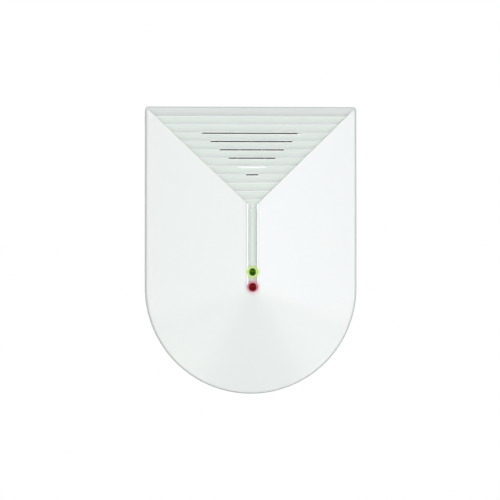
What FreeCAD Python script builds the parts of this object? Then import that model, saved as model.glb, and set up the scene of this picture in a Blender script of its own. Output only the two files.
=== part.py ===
"""Wall-mounted acoustic glass break sensor: a moulded cover that swings on a back plate over a board.

Frame: X to the right as the sensor is seen, Z up, and the wall is the plane Y = 0. Everything is in front of
the wall, so a "depth" is a distance from the wall towards the viewer, and its Y is minus the depth. The
origin is the middle of the sensor's back. All sizes are in millimetres.
"""

import FreeCAD, Part
import math
import os

Vector = FreeCAD.Vector

# Case outline and roof
case_width = 66.5
case_height = 90.0
ridge_depth = 25.4  # where the two side slopes would meet in front of the wall
skirt_depth = 13.0  # where the upright side walls turn into slopes
hip_height = 32.5  # from the top of the case down to the point of the louvred triangle
wall_gap = 1.2  # the cover's back edge stands this far off the wall
cover_wall = 1.8
draft_angle = 0.4
eave_radius = 1.2
corner_radius = 1.2

# Louvred triangle
louvre_pitch = 2.64
first_louvre_height = 2.85
louvre_count = 11
louvre_inset = 0.12  # the steps lie this far under the plane of the hip
riser_height = 0.16  # a step leans back by this much as it rises
louvre_wall = 1.3  # what is left behind the deepest part of a step
slot_height = 0.36
slot_drop = 0.28  # from the inner corner of a step down to the slot below it
slot_margin = 9.5  # from a slot's end to the side of the triangle
slot_lines = (2, 3, 4, 5, 7)  # lines with an open slot below them
window_line = 6  # the line whose slot is closed by a raised strip
window_height = 0.7
window_proud = 0.12

# Channel for the two lights
channel_width = 2.4
lip_width = 0.62
lip_height = 0.3
lip_rounding = 0.28

# Lights
light_radius = 1.5
light_height = 5.3
light_flange_radius = 1.9
light_flange_height = 1.0
light_proud = 0.3
light_crown_radius = 2.9
light_raise = 0.2  # the lower light is this far above the centre of the round bottom
light_hole_gap = 0.2
light_pitch = 4.62
light_land = 1.2  # thickness of the cover around the lights
lead_spacing = 2.54
lead_size = 0.5
spacer_radius = 2.1
lead_bore_gap = 0.07

# Hinge lugs at the top of the cover
hinge_drop = 2.5
hinge_depth = 1.5
lug_radius = 0.6
lug_width = 8.0
lug_from_side = 9.25
lug_gap = 0.2
lug_side_gap = 0.4

# Webs inside the cover, between the side walls and the slopes
gusset_width = 1.0
gusset_reach = 5.0
gusset_toe = 0.8
gusset_rim_gap = 2.5
gusset_start = 2.0
gusset_spacing = 13.0
gusset_count = 3

# Back plate
side_gap = 0.3
top_gap = 0.4
plate_thickness = 2.0
rim_thickness = 1.5
rim_depth = 5.0
wall_screw_radius = 2.2
wall_screw_half_spacing = 17.5
upper_screw_from_top = 8.0
lower_screw_from_bottom = 16.0
cable_entry_width = 18.0
cable_entry_height = 6.0
cable_entry_from_bottom = 8.0
plate_rib_thickness = 1.0
plate_rib_height = 1.0
bead_height = 0.2
bead_width = 1.0
bead_depth = 3.4
bead_half_angle = 14.0
groove_extra = 0.15
pry_notch_width = 9.0
pry_notch_height = 1.4

# Circuit board
pillar_height = 3.0
pillar_radius = 2.6
peg_radius = 1.25
peg_gap = 0.1
board_thickness = 1.6
board_side_gap = 0.6
board_shoulder_from_top = 14.0
board_tab_from_top = 9.0
board_tab_width = 22.0
board_bottom_from_centre = 12.75
pillar_from_edge = 4.0
lower_pillar_above_bottom = 12.0
pin_overhang = 1.3
pin_hole_gap = 0.08

# Board screws
screw_radius = 1.1
screw_length = 5.0
screw_head_radius = 2.1
screw_head_height = 1.6
screw_hole_gap = 0.05
screw_recess_width = 0.6
screw_recess_length = 2.4
screw_recess_depth = 0.9

# Microphone
capsule_radius = 4.85
boot_wall = 1.15
boot_lip = 0.3
boot_floor = 0.5
boot_gap = 0.05
capsule_roll = 0.5
felt_radius = 3.9
felt_thickness = 0.35
microphone_slot_line = 5
microphone_clearance = 0.9
microphone_pin_size = 0.5

# Screw terminals
terminal_ways = 6
terminal_pitch = 3.81
terminal_height = 8.4
terminal_length = 7.4
terminal_cheek = 0.75
terminal_front_chamfer = 1.6
terminal_from_board_edge = 0.6
cage_width = 2.5
cage_length = 4.4
cage_height = 4.6
cage_wall = 0.45
cage_gap = 0.1
cage_floor = 1.1
terminal_screw_radius = 0.7
terminal_head_radius = 1.35
terminal_head_height = 1.3
terminal_slot_width = 0.45
terminal_slot_depth = 0.6
terminal_pin_size = 0.8

# Relay
relay_width = 7.5
relay_length = 15.0
relay_height = 8.2
relay_stand_off = 0.3
relay_bevel = 0.4
relay_pin_rows = 4
relay_pin_pitch = 3.6
relay_row_spacing = 5.08
relay_pin_size = 0.5

# Tamper switch
switch_size = 6.4
switch_height = 4.6
switch_bore_depth = 3.0
plunger_radius = 1.2
plunger_gap = 0.08
plunger_out = 1.6
plunger_over_travel = 0.5
plunger_end_gap = 0.1
plunger_bevel = 0.4
post_radius = 2.0
post_gap = 0.1

# Packages on the board
quad_body = 8.0
quad_height = 1.8
quad_leads_per_side = 8
quad_lead_pitch = 0.8
dual_length = 8.65
dual_width = 3.9
dual_height = 1.5
dual_leads_per_side = 7
dual_lead_pitch = 1.27
chip_stand_off = 0.15
gull_reach = 1.1
gull_thickness = 0.18
gull_width = 0.36
gull_foot = 0.6
key_dimple_radius = 0.5
key_dimple_depth = 0.15
key_dimple_inset = 1.1

# Header and jumper caps
header_pitch = 2.54
header_height = 2.5
header_pin_size = 0.64
header_pin_above = 5.6
jumper_height = 6.0
jumper_wall_gap = 0.06

# Round and chip components
large_capacitor_radius = 4.0
large_capacitor_height = 9.0
small_capacitor_radius = 2.5
small_capacitor_height = 7.5
crimp_depth = 0.3
crimp_height = 0.8
crimp_above_base = 1.2
capacitor_pin_size = 0.5
capacitor_pin_spacing = 2.5
crystal_length = 11.0
crystal_width = 4.6
crystal_height = 3.4
crystal_flange = 0.45
crystal_flange_height = 0.5
crystal_pin_spacing = 4.88
crystal_pin_size = 0.45
regulator_width = 6.5
regulator_length = 3.5
regulator_height = 1.6
regulator_tab_width = 3.0
regulator_lead_pitch = 2.3
regulator_lead_width = 0.7
suppressor_length = 4.3
suppressor_width = 3.6
suppressor_height = 2.2
suppressor_bevel = 0.35
chip_length = 2.0
chip_width = 1.25
resistor_height = 0.55
chip_capacitor_height = 0.9
chip_side_step = 2.4
chip_upright_step = 3.2

# Where things stand on the board
crystal_below_shoulder = 3.4
processor_below_shoulder = 12.5
processor_from_middle = 15.0
relay_below_processor = 2.0
relay_from_middle = 14.4
amplifier_below_shoulder = 5.5
amplifier_screw_gap = 2.6
regulator_below_shoulder = 15.0
regulator_from_edge = 8.0
supply_below_shoulder = 18.7
supply_regulator_gap = 2.6
filter_supply_gap = 2.2
filter_from_middle = 9.0
coupling_below_shoulder = 23.2
coupling_from_middle = 5.0
header_above_light = 1.0
header_from_middle = 7.5
switch_above_light = 10.5
switch_from_edge = 9.0
suppressor_above_light = 3.0
suppressor_from_edge = 8.0
chips_below_microphone = 2.2
chips_beside_relay = 2.2
chips_above_light = 3.0
chips_from_edge = 2.6

# Values worked out from the sizes above
half_width = case_width / 2
case_top = case_height / 2
round_centre = half_width - case_height / 2  # height of the centre of the round bottom
draft_tangent = math.tan(math.radians(draft_angle))
eave_set_in = (skirt_depth - wall_gap) * draft_tangent
eave_half = half_width - eave_set_in
eave_top = case_top - eave_set_in
hip_apex = case_top - hip_height
roof_slope = (ridge_depth - skirt_depth) / eave_half
hip_slope = (ridge_depth - skirt_depth) / (eave_top - hip_apex)
slope_stretch = math.hypot(1, roof_slope)
hip_drop = louvre_pitch * hip_slope + louvre_inset + louvre_wall
last_louvre_top = case_top - first_louvre_height - (louvre_count - 1) * louvre_pitch
last_step_depth = skirt_depth + (eave_top - last_louvre_top) * hip_slope - louvre_inset
channel_floor = last_step_depth
light_tip = channel_floor + light_proud
ceiling_depth = channel_floor - light_land
hinge_height = case_top - hinge_drop
lug_x = half_width - lug_from_side
plate_inset = cover_wall + side_gap
plate_top_inset = cover_wall + top_gap
inside_half = half_width - plate_inset - rim_thickness
board_back = plate_thickness + pillar_height
board_front = board_back + board_thickness
board_half = inside_half - board_side_gap
board_shoulder = case_top - board_shoulder_from_top
board_tab_top = case_top - board_tab_from_top
board_bottom = round_centre - board_bottom_from_centre
pin_end = board_back - pin_overhang
pillar_x = board_half - pillar_from_edge
upper_pillar_z = board_shoulder - pillar_from_edge
lower_pillar_z = board_bottom + lower_pillar_above_bottom

TOWARDS_VIEWER = Vector(0, -1, 0)
ACROSS = Vector(1, 0, 0)
UP = Vector(0, 0, 1)


def at(x, depth, z):
    return Vector(x, -depth, z)


def in_front_view(depth):
    return lambda x, z: at(x, depth, z)


def in_side_view(x):
    return lambda z, depth: at(x, depth, z)


def in_top_view(z):
    return lambda x, depth: at(x, depth, z)


def box(x_range, depth_range, z_range):
    x0, x1 = x_range
    d0, d1 = depth_range
    z0, z1 = z_range
    return Part.makeBox(x1 - x0, d1 - d0, z1 - z0, at(x0, d1, z0))


def block(x, z, width, height, depth, thickness):
    """A box centred on (x, z) in the front view that starts at a depth and grows towards the viewer."""
    return box((x - width / 2, x + width / 2), (depth, depth + thickness), (z - height / 2, z + height / 2))


def rod(x, z, radius, depth, length):
    return Part.makeCylinder(radius, length, at(x, depth, z), TOWARDS_VIEWER)


def fused(shapes):
    shapes = list(shapes)
    whole = shapes[0]
    if len(shapes) > 1:
        whole = whole.fuse(shapes[1:])
    return whole.removeSplitter()


def corner_arc(before, corner, after, radius):
    """Start, middle and end of the arc that rounds a corner, all as 2-D points."""
    into = [corner[i] - before[i] for i in (0, 1)]
    out = [after[i] - corner[i] for i in (0, 1)]
    into = [c / math.hypot(*into) for c in into]
    out = [c / math.hypot(*out) for c in out]
    turn = math.acos(max(-1.0, min(1.0, into[0] * out[0] + into[1] * out[1])))
    tangent = radius * math.tan(turn / 2)
    inward = [out[i] - into[i] for i in (0, 1)]
    inward = [c / math.hypot(*inward) for c in inward]
    sagitta = radius * (1 / math.cos(turn / 2) - 1)
    start = [corner[i] - into[i] * tangent for i in (0, 1)]
    middle = [corner[i] + inward[i] * sagitta for i in (0, 1)]
    end = [corner[i] + out[i] * tangent for i in (0, 1)]
    return start, middle, end


def outline(corners, place):
    """A flat face through corners (u, v) or (u, v, radius); place turns (u, v) into a point in space."""
    edges = []
    points = []
    count = len(corners)
    for i, corner in enumerate(corners):
        if len(corner) == 3 and corner[2] > 0:
            arc = corner_arc(corners[i - 1][:2], corner[:2], corners[(i + 1) % count][:2], corner[2])
            points.append([place(*p) for p in arc])
        else:
            points.append([place(*corner[:2])])
    for i, here in enumerate(points):
        if len(here) == 3:
            edges.append(Part.Arc(*here).toShape())
        following = points[(i + 1) % count][0]
        if here[-1].distanceToPoint(following) > 1e-6:
            edges.append(Part.LineSegment(here[-1], following).toShape())
    return Part.Face(Part.Wire(edges))


def front_edges(shape):
    """The edges that lie in the plane of a shape's front."""
    front = shape.BoundBox.YMin
    return [e for e in shape.Edges if abs(e.BoundBox.YMax - front) < 1e-4]


def mirrored_pair(shape):
    return [shape, shape.mirror(Vector(0, 0, 0), ACROSS)]


# Forms shared by the cover, the back plate and the board


def shield_wire(inset, top_inset, depth):
    """The outline of the case, moved in: flat top, straight sides, half-round bottom."""
    half = half_width - inset
    top = case_top - top_inset
    radius = max(corner_radius - inset, corner_radius / 3)
    place = in_front_view(depth)
    corner = corner_arc((half, round_centre), (half, top), (0, top), radius)
    right = [place(*p) for p in corner]
    left = [place(-u, v) for u, v in reversed(corner)]
    edges = [
        Part.LineSegment(place(half, round_centre), right[0]),
        Part.Arc(*right),
        Part.LineSegment(right[-1], left[0]),
        Part.Arc(*left),
        Part.LineSegment(left[-1], place(-half, round_centre)),
        Part.Arc(place(-half, round_centre), place(0, round_centre - half), place(half, round_centre)),
    ]
    return Part.Wire([e.toShape() for e in edges])


def shield(inset, top_inset, depth, thickness):
    """A slab with the outline of the case, moved in."""
    return Part.Face(shield_wire(inset, top_inset, depth)).extrude(TOWARDS_VIEWER * thickness)


def side_slope_depth(x):
    return ridge_depth - abs(x) * roof_slope


def hip_depth(z):
    return skirt_depth + (eave_top - z) * hip_slope


def triangle_half(z):
    """Half the width of the louvred triangle at a height."""
    return (z - hip_apex) * eave_half / (eave_top - hip_apex)


def louvre_line(index):
    return case_top - first_louvre_height - index * louvre_pitch


def louvre_flat(index):
    """Depth of the flat step that ends at a louvre line."""
    upper = eave_top if index == 0 else louvre_line(index - 1)
    return hip_depth(upper) - louvre_inset


def case_form(inset, hip_inset, back, edge_radius):
    """The roof shape, moved in by inset: two side slopes, a hip at the top, a half cone round the bottom."""
    back_half = half_width - inset
    eave = eave_half - inset
    drop = inset * slope_stretch
    eave_depth = side_slope_depth(eave) - drop
    ridge = ridge_depth - drop
    across = [
        (-back_half, back),
        (-eave, eave_depth, edge_radius),
        (0, ridge),
        (eave, eave_depth, edge_radius),
        (back_half, back),
    ]
    place = in_top_view(round_centre)
    slopes = outline(across, place).extrude(UP * (case_top - round_centre))
    half_section = [(0, back), (back_half, back), (eave, eave_depth, edge_radius), (0, ridge)]
    cone = outline(half_section, place).revolve(at(0, 0, round_centre), Vector(0, 1, 0), 180)
    beyond = ridge_depth + cover_wall
    below = round_centre - half_width - cover_wall
    hip_corner = eave_top - inset
    beyond_z = eave_top - (beyond + hip_inset - skirt_depth) / hip_slope
    lengthwise = [
        (below, back - 1),
        (case_top - inset, back - 1),
        (case_top - inset, back),
        (hip_corner, hip_depth(hip_corner) - hip_inset),
        (beyond_z, beyond),
        (below, beyond),
    ]
    hip = outline(lengthwise, in_side_view(-case_width)).extrude(ACROSS * (2 * case_width))
    return slopes.fuse(cone).common(hip)


def corner_rounders():
    """What is cut away to round the two upright corners at the top, with the draft of the walls."""
    x = half_width - corner_radius
    z = case_top - corner_radius
    deep = ridge_depth - wall_gap
    square = box((x, x + 2 * corner_radius), (wall_gap, ridge_depth), (z, z + 2 * corner_radius))
    front_radius = corner_radius - deep * draft_tangent
    post = Part.makeCone(corner_radius, front_radius, deep, at(x, wall_gap, z), TOWARDS_VIEWER)
    return mirrored_pair(square.cut(post))


# Front cover


def louvre_cutter():
    """Everything in front of the stepped floor of the triangle."""
    above = case_top + corner_radius
    deep = ridge_depth + cover_wall
    steps = [(above, deep), (above, louvre_flat(0))]
    for index in range(louvre_count):
        steps.append((louvre_line(index), louvre_flat(index)))
        steps.append((louvre_line(index) - riser_height, louvre_flat(index + 1)))
    steps.append((hip_apex, louvre_flat(louvre_count)))
    steps.append((hip_apex, deep))
    stair = outline(steps, in_side_view(-case_width)).extrude(ACROSS * (2 * case_width))
    reach = triangle_half(above)
    triangle = outline([(-reach, above), (reach, above), (0, hip_apex)], in_front_view(0))
    return triangle.extrude(TOWARDS_VIEWER * (2 * deep)).common(stair)


def slot_half_length(line):
    return triangle_half(louvre_line(line)) - slot_margin


def slot_cutters():
    cutters = []
    for line in slot_lines:
        half = slot_half_length(line)
        top = louvre_line(line) - slot_drop
        front = louvre_flat(line + 1) + louvre_inset
        cutters.append(box((-half, half), (front - hip_drop, front), (top - slot_height, top)))
    return cutters


def window_strip():
    """The low raised strip in the place of a slot."""
    half = slot_half_length(window_line)
    top = louvre_line(window_line) - slot_drop
    flat = louvre_flat(window_line + 1)
    return box((-half, half), (flat - louvre_wall / 2, flat + window_proud), (top - window_height, top))


def stadium(half, depth, thickness):
    """An upright slab for the channel: round at the lower light, square at the triangle's point."""
    top = (hip_apex + last_louvre_top) / 2
    straight = box((-half, half), (depth, depth + thickness), (round_centre, top))
    return straight.fuse(rod(0, round_centre, half, depth, thickness)).removeSplitter()


def channel_lip():
    """The rounded bead along both sides of the channel and under the lower light."""
    half = channel_width / 2
    top = side_slope_depth(half + lip_width / 2) + lip_height
    base = channel_floor - light_land / 2
    bead = stadium(half + lip_width, base, top - base).cut(stadium(half, base - 1, top - base + 2))
    long_edges = [edge for edge in front_edges(bead) if edge.Length > 2 * lip_width]
    return bead.makeFillet(lip_rounding, long_edges)


def light_heights():
    red = round_centre + light_raise
    return {"red": red, "green": red + light_pitch}


def light_hole(z):
    return rod(0, z, light_radius + light_hole_gap, ceiling_depth - cover_wall, 4 * cover_wall)


def cover_lug():
    """A round-nosed hook inside the top wall, on which the cover hangs and swings."""
    left = lug_x - lug_width / 2
    nose = Part.makeCylinder(lug_radius, lug_width, at(left, hinge_depth, hinge_height), ACROSS)
    neck_top = case_top - cover_wall / 2
    neck = box((left, left + lug_width), (wall_gap, hinge_depth + lug_radius), (hinge_height, neck_top))
    return nose.fuse(neck)


def switch_place():
    return board_half - switch_from_edge, round_centre + switch_above_light


def plunger_tip():
    return board_front + switch_height + plunger_out


def tamper_post():
    """The post inside the cover that holds the switch's plunger in."""
    x, z = switch_place()
    start = plunger_tip() + post_gap
    end = side_slope_depth(x + post_radius) - cover_wall / 2
    return rod(x, z, post_radius, start, end - start)


def snap_ring(radius, height, width):
    """A low ridge with sloping flanks on the inside of the round end, turned about its centre."""
    flank = width / 2
    section = [
        (radius - height, bead_depth - flank),
        (radius + height, bead_depth - flank / 3),
        (radius + height, bead_depth + flank / 3),
        (radius - height, bead_depth + flank),
    ]
    ring = outline(section, in_top_view(round_centre))
    ring.rotate(at(0, 0, round_centre), Vector(0, 1, 0), 90 - bead_half_angle)
    return ring.revolve(at(0, 0, round_centre), Vector(0, 1, 0), 2 * bead_half_angle)


def cover_gussets():
    """Small triangular webs between the side walls and the slopes."""
    inner = eave_half - cover_wall
    end = rim_depth + gusset_rim_gap
    shapes = []
    for index in range(gusset_count):
        z = round_centre + gusset_start + index * gusset_spacing
        section = [
            (inner - gusset_reach, side_slope_depth(inner - gusset_reach) - cover_wall / 2),
            (inner + cover_wall / 2, side_slope_depth(inner) - cover_wall / 2),
            (inner + cover_wall / 2, end),
            (inner - gusset_toe, end),
        ]
        shapes.append(outline(section, in_top_view(z)).extrude(UP * gusset_width))
    return [copy for shape in shapes for copy in mirrored_pair(shape)]


def pry_notch():
    """The notch in the back edge at the bottom, where a blade lifts the cover."""
    bottom = round_centre - half_width
    half = pry_notch_width / 2
    return box((-half, half), (0, wall_gap + pry_notch_height), (bottom - 1, bottom + cover_wall + 1))


def front_cover():
    body = case_form(0, 0, wall_gap, eave_radius).cut(corner_rounders())
    body = body.fuse(channel_lip()).cut(louvre_cutter())
    cavity = case_form(cover_wall, hip_drop, wall_gap - 1, 0)
    ceiling = box((-half_width, half_width), (-1, ceiling_depth), (-case_top, case_top))
    body = body.cut(cavity.common(ceiling))
    body = body.cut(stadium(channel_width / 2, channel_floor, 2 * cover_wall))
    body = body.cut(slot_cutters() + [light_hole(z) for z in light_heights().values()])
    groove = snap_ring(half_width - cover_wall, bead_height + groove_extra, bead_width + 2 * groove_extra)
    body = body.cut([groove, pry_notch()])
    body = body.fuse(mirrored_pair(cover_lug()) + [tamper_post(), window_strip()] + cover_gussets())
    return body.removeSplitter()


# Back plate


def wall_screw_places():
    upper = case_top - upper_screw_from_top
    lower = -case_top + lower_screw_from_bottom
    return [(side * wall_screw_half_spacing, z) for z in (upper, lower) for side in (-1, 1)]


def cable_entry():
    """A slot with round ends through the plate, below the board."""
    low = -case_top + cable_entry_from_bottom
    half = cable_entry_width / 2
    radius = cable_entry_height / 2 - 0.01
    high = low + cable_entry_height
    corners = [(-half, low), (half, low), (half, high), (-half, high)]
    face = outline([(*c, radius) for c in corners], in_front_view(-1))
    return face.extrude(TOWARDS_VIEWER * (plate_thickness + 2))


def lug_notch():
    """Room for a lug of the cover behind the rim, which keeps the lug from pulling straight out."""
    half = lug_width / 2 + lug_side_gap
    floor = hinge_height - lug_radius - lug_gap
    front = hinge_depth + lug_radius + lug_gap
    return box((lug_x - half, lug_x + half), (-1, front), (floor, case_top))


def pillar_places():
    return {"screw": upper_pillar_z, "peg": lower_pillar_z}


def plate_ribs():
    """Low stiffening ribs between the pillars."""
    half = plate_rib_thickness / 2
    ribs = [
        box(
            (x - half, x + half),
            (plate_thickness, plate_thickness + plate_rib_height),
            (lower_pillar_z, upper_pillar_z),
        )
        for x in (-pillar_x, pillar_x)
    ]
    for z in pillar_places().values():
        ribs.append(
            box(
                (-pillar_x, pillar_x),
                (plate_thickness, plate_thickness + plate_rib_height),
                (z - half, z + half),
            )
        )
    return ribs


def back_plate():
    plate = shield(plate_inset, plate_top_inset, 0, rim_depth)
    well = shield(
        plate_inset + rim_thickness, plate_top_inset + rim_thickness, plate_thickness, rim_depth
    )
    body = plate.cut(well)
    pillars = []
    for z in pillar_places().values():
        pillars += mirrored_pair(rod(pillar_x, z, pillar_radius, plate_thickness, pillar_height))
    pegs = mirrored_pair(rod(pillar_x, lower_pillar_z, peg_radius, board_back, board_thickness - 0.2))
    bead = snap_ring(half_width - plate_inset, bead_height, bead_width)
    body = body.fuse(pillars + pegs + plate_ribs() + [bead])
    pilot_depth = board_front - screw_length - 0.3
    pilots = mirrored_pair(
        rod(pillar_x, upper_pillar_z, screw_radius + screw_hole_gap, pilot_depth, board_back)
    )
    holes = [rod(x, z, wall_screw_radius, -1, plate_thickness + 2) for x, z in wall_screw_places()]
    body = body.cut(pilots + holes + [cable_entry()] + mirrored_pair(lug_notch()))
    return body.removeSplitter()


# Pins through the board


def pin(x, z, size, top):
    """A square pin from behind the board up to a depth."""
    return block(x, z, size, size, pin_end, top - pin_end)


def pin_hole(x, z, size):
    """A square hole that clears its pin: solder fills the rest of the drilled hole."""
    width = size + 2 * pin_hole_gap
    return block(x, z, width, width, board_back - 1, board_thickness + 2)


# Lights


def light_body(z):
    base = light_tip - light_height
    crown_height = light_crown_radius - math.sqrt(light_crown_radius**2 - light_radius**2)
    flange = rod(0, z, light_flange_radius, base, light_flange_height)
    stem = rod(0, z, light_radius, base, light_height - crown_height)
    ball = Part.makeSphere(light_crown_radius, at(0, light_tip - light_crown_radius, z))
    crown = ball.common(rod(0, z, light_radius, light_tip - crown_height, 2 * crown_height))
    return fused([flange, stem, crown])


def lead_places(z):
    return [(side * lead_spacing / 2, z) for side in (-1, 1)]


def light_leads(z):
    return [pin(x, z, lead_size, light_tip - light_height) for x, z in lead_places(z)]


def light_spacer(z):
    length = light_tip - light_height - board_front
    tube = rod(0, z, spacer_radius, board_front, length)
    bore = lead_size / math.sqrt(2) + lead_bore_gap
    return tube.cut([rod(x, z, bore, board_front - 1, length + 2) for x, z in lead_places(z)])


# Microphone


def microphone_place():
    return 0, louvre_line(microphone_slot_line)


def microphone_front():
    """Depth of the boot's front, clear of the sloping louvred wall at the boot's upper edge."""
    _, z = microphone_place()
    return hip_depth(z + capsule_radius + boot_wall) - hip_drop - microphone_clearance


def microphone_boot():
    x, z = microphone_place()
    height = microphone_front() - board_front
    outer = rod(x, z, capsule_radius + boot_wall, board_front, height)
    bore = rod(x, z, capsule_radius + boot_gap, board_front + boot_floor, height)
    width = microphone_pin_size + 2 * boot_gap
    passages = [block(px, pz, width, width, board_front - 1, height) for px, pz in microphone_pins_at()]
    return outer.cut([bore] + passages)


def microphone_capsule():
    x, z = microphone_place()
    front = microphone_front() - boot_lip
    back = board_front + boot_floor
    can = rod(x, z, capsule_radius, back, front - back)
    can = can.makeChamfer(capsule_roll, front_edges(can))
    return can.cut(rod(x, z, felt_radius, front - felt_thickness, 1))


def microphone_felt():
    x, z = microphone_place()
    front = microphone_front() - boot_lip
    return rod(x, z, felt_radius - boot_gap, front - felt_thickness, felt_thickness)


def microphone_pins_at():
    x, z = microphone_place()
    return [(x + side * lead_spacing / 2, z) for side in (-1, 1)]


def microphone_pins():
    return [pin(x, z, microphone_pin_size, board_front + boot_floor) for x, z in microphone_pins_at()]


# Screw terminals


def terminal_span():
    low = board_bottom + terminal_from_board_edge
    return low, low + terminal_length


def terminal_way_x():
    first = -terminal_pitch * (terminal_ways - 1) / 2
    return [first + terminal_pitch * way for way in range(terminal_ways)]


def cage_range():
    """Height range and depth range of the clamp cages."""
    low = terminal_span()[0] + (terminal_length - cage_length) / 2
    depth = board_front + cage_floor
    return (low, low + cage_length), (depth, depth + cage_height)


def terminal_housing():
    low, high = terminal_span()
    front = board_front + terminal_height
    half = terminal_pitch * terminal_ways / 2 + terminal_cheek
    section = [
        (low, board_front),
        (low, front - terminal_front_chamfer),
        (low + terminal_front_chamfer, front),
        (high - terminal_front_chamfer / 2, front),
        (high, front - terminal_front_chamfer),
        (high, board_front),
    ]
    body = outline(section, in_side_view(-half)).extrude(ACROSS * (2 * half))
    (cage_low, cage_high), (cage_back, cage_front) = cage_range()
    cuts = []
    for x in terminal_way_x():
        pocket_half = cage_width / 2 + cage_gap
        cuts.append(
            box(
                (x - pocket_half, x + pocket_half),
                (cage_back - cage_gap, cage_front + cage_gap),
                (low - 1, cage_high + cage_gap),
            )
        )
        middle = (cage_low + cage_high) / 2
        cuts.append(rod(x, middle, terminal_head_radius + cage_gap, cage_front, terminal_height))
        pin_width = terminal_pin_size + cage_gap
        cuts.append(block(x, middle, pin_width, pin_width, board_front - 1, 3))
    return body.cut(cuts)


def terminal_pin_places():
    (cage_low, cage_high), _ = cage_range()
    return [(x, (cage_low + cage_high) / 2) for x in terminal_way_x()]


def terminal_clamps():
    """A brass cage on a solder pin for each way, open towards the wire."""
    (low, high), (back, front) = cage_range()
    cages = []
    for x, z in terminal_pin_places():
        half = cage_width / 2
        cage = box((x - half, x + half), (back, front), (low, high))
        tunnel = box(
            (x - half + cage_wall, x + half - cage_wall),
            (back + cage_wall, front - 2 * cage_wall),
            (low - 1, high + 1),
        )
        window = 2 * (terminal_screw_radius + cage_gap)
        screw_window = block(x, z, window, window, front - 3 * cage_wall, 4 * cage_wall)
        solder_pin = block(x, z, terminal_pin_size, terminal_pin_size, pin_end, back - pin_end)
        cages.append(fused([cage.cut([tunnel, screw_window]), solder_pin]))
    return cages


def terminal_screws():
    _, (back, front) = cage_range()
    screws = []
    for x, z in terminal_pin_places():
        shank_length = front - back - 3 * cage_wall
        shank = rod(x, z, terminal_screw_radius, front - shank_length, shank_length)
        head = rod(x, z, terminal_head_radius, front, terminal_head_height)
        drive = block(
            x,
            z,
            2 * terminal_head_radius + 1,
            terminal_slot_width,
            front + terminal_head_height - terminal_slot_depth,
            1,
        )
        screws.append(fused([shank, head]).cut(drive))
    return screws


# Relay


def relay_place():
    _, processor_z = processor_place()
    z = processor_z - quad_body / 2 - gull_reach - relay_below_processor - relay_length / 2
    return -relay_from_middle, z


def relay_pins_at():
    x, z = relay_place()
    first = -relay_pin_pitch * (relay_pin_rows - 1) / 2
    heights = [first + relay_pin_pitch * row for row in range(relay_pin_rows)]
    return [(x + side * relay_row_spacing / 2, z + dz) for dz in heights for side in (-1, 1)]


def relay_case():
    x, z = relay_place()
    back = board_front + relay_stand_off
    body = block(x, z, relay_width, relay_length, back, relay_height - relay_stand_off)
    front = board_front + relay_height
    upright = [e for e in body.Edges if e.BoundBox.YLength > 1]
    body = body.makeChamfer(relay_bevel, upright + front_edges(body))
    step = block(x, z, relay_width + 1, relay_length + 1, front - 1.9, 0.15)
    band = step.cut(block(x, z, relay_width - 0.3, relay_length - 0.3, front - 3, 3))
    return body.cut(band)


def relay_pins():
    return [pin(x, z, relay_pin_size, board_front + relay_stand_off) for x, z in relay_pins_at()]


# Tamper switch


def switch_pins_at():
    x, z = switch_place()
    reach = switch_size / 2 - 0.9
    return [(x + sx * reach, z + sz * reach) for sx in (-1, 1) for sz in (-1, 1)]


def tamper_switch():
    x, z = switch_place()
    body = block(x, z, switch_size, switch_size, board_front, switch_height - 0.8)
    collar = rod(x, z, switch_size / 2 - 0.6, board_front, switch_height)
    bore_bottom = board_front + switch_height - switch_bore_depth
    bore = rod(x, z, plunger_radius + plunger_gap, bore_bottom, switch_bore_depth + 1)
    return fused([body, collar]).cut(bore)


def tamper_plunger():
    x, z = switch_place()
    back = board_front + switch_height - switch_bore_depth + plunger_over_travel + plunger_end_gap
    stem = rod(x, z, plunger_radius, back, plunger_tip() - back)
    return stem.makeChamfer(plunger_bevel, front_edges(stem))


def switch_pins():
    return [pin(x, z, relay_pin_size, board_front) for x, z in switch_pins_at()]


# Chip packages


def gull_lead():
    """One bent lead in the top view, from x = 0 outwards, standing on the board."""
    top = board_front + chip_stand_off + quad_height / 2
    heel = gull_reach - gull_foot
    section = [
        (0, top),
        (heel, top),
        (heel + 0.15, board_front + gull_thickness),
        (gull_reach, board_front + gull_thickness),
        (gull_reach, board_front),
        (heel, board_front),
        (heel - 0.15, top - gull_thickness),
        (0, top - gull_thickness),
    ]
    return outline(section, in_top_view(-gull_width / 2)).extrude(UP * gull_width)


def lead_row(x, z, half_body, count, pitch, quarter_turns):
    """Leads along one side of a package at (x, z); quarter_turns picks the side."""
    row = []
    for index in range(count):
        lead = gull_lead()
        lead.translate(Vector(half_body, 0, (index - (count - 1) / 2) * pitch))
        lead.rotate(Vector(0, 0, 0), Vector(0, 1, 0), 90 * quarter_turns)
        lead.translate(Vector(x, 0, z))
        row.append(lead)
    return row


def chip_body(x, z, width, height, thickness):
    body = block(x, z, width, height, board_front + chip_stand_off, thickness)
    corner = (x - width / 2 + key_dimple_inset, z + height / 2 - key_dimple_inset)
    dimple_bottom = board_front + chip_stand_off + thickness - key_dimple_depth
    return body.cut(rod(*corner, key_dimple_radius, dimple_bottom, 1))


def processor_place():
    return -processor_from_middle, board_shoulder - processor_below_shoulder


def processor_chip():
    return chip_body(*processor_place(), quad_body, quad_body, quad_height)


def processor_leads():
    leads = []
    for side in range(4):
        leads += lead_row(*processor_place(), quad_body / 2, quad_leads_per_side, quad_lead_pitch, side)
    return leads


def amplifier_place():
    x = pillar_x - screw_head_radius - amplifier_screw_gap - dual_length / 2
    return x, board_shoulder - amplifier_below_shoulder


def amplifier_chip():
    return chip_body(*amplifier_place(), dual_length, dual_width, dual_height)


def amplifier_leads():
    leads = []
    for side in (1, 3):
        leads += lead_row(*amplifier_place(), dual_width / 2, dual_leads_per_side, dual_lead_pitch, side)
    return leads


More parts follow.
